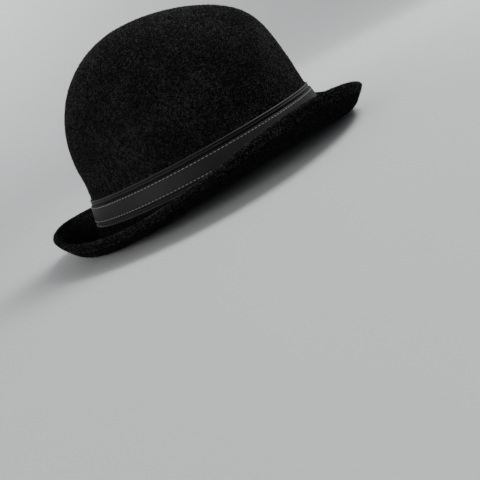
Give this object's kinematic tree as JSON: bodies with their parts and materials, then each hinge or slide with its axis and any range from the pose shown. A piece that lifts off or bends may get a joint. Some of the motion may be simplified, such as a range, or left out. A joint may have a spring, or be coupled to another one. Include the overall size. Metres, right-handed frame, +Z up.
{
  "type": "bowler hat",
  "caption": "Black felt bowler hat: round stiff crown, curled brim with front and rear dips, ribbon band with a topstitched strip, side bow, leather sweatband and lining.",
  "frame": {"origin": "on the surface the hat stands on, under the middle of the brim's outline", "axes": "+X towards the front of the hat, +Y towards the wearer's left, +Z up through the crown"},
  "size_m": [0.2709, 0.2554, 0.1364],
  "materials": {
    "felt": "matte napped wool felt, black",
    "ribbon": "ribbed grosgrain, black, slight sheen",
    "overlay": "smooth black strip, soft sheen",
    "topstitch": "grey sewing thread",
    "leather": "smooth dark brown-black leather",
    "tape": "woven cotton tape, black",
    "reed": "bare plastic reed",
    "satin": "black satin",
    "label": "blank off-white woven label"
  },
  "bodies": {
    "root": {"felt_body": "felt", "hatband_ribbon": "ribbon", "hatband_overlay": "overlay", "overlay_stitches_upper": "topstitch", "overlay_stitches_lower": "topstitch", "bow_front_loop": "ribbon", "bow_rear_loop": "ribbon", "bow_knot": "ribbon", "sweatband": "leather", "sweatband_seam_thread": "topstitch", "sweatband_reed": "reed", "reed_tape": "tape", "sweatband_rear_bow": "ribbon", "size_label": "label", "lining_side": "satin", "lining_tip": "satin", "lining_piping": "satin"}
  },
  "joints": []
}
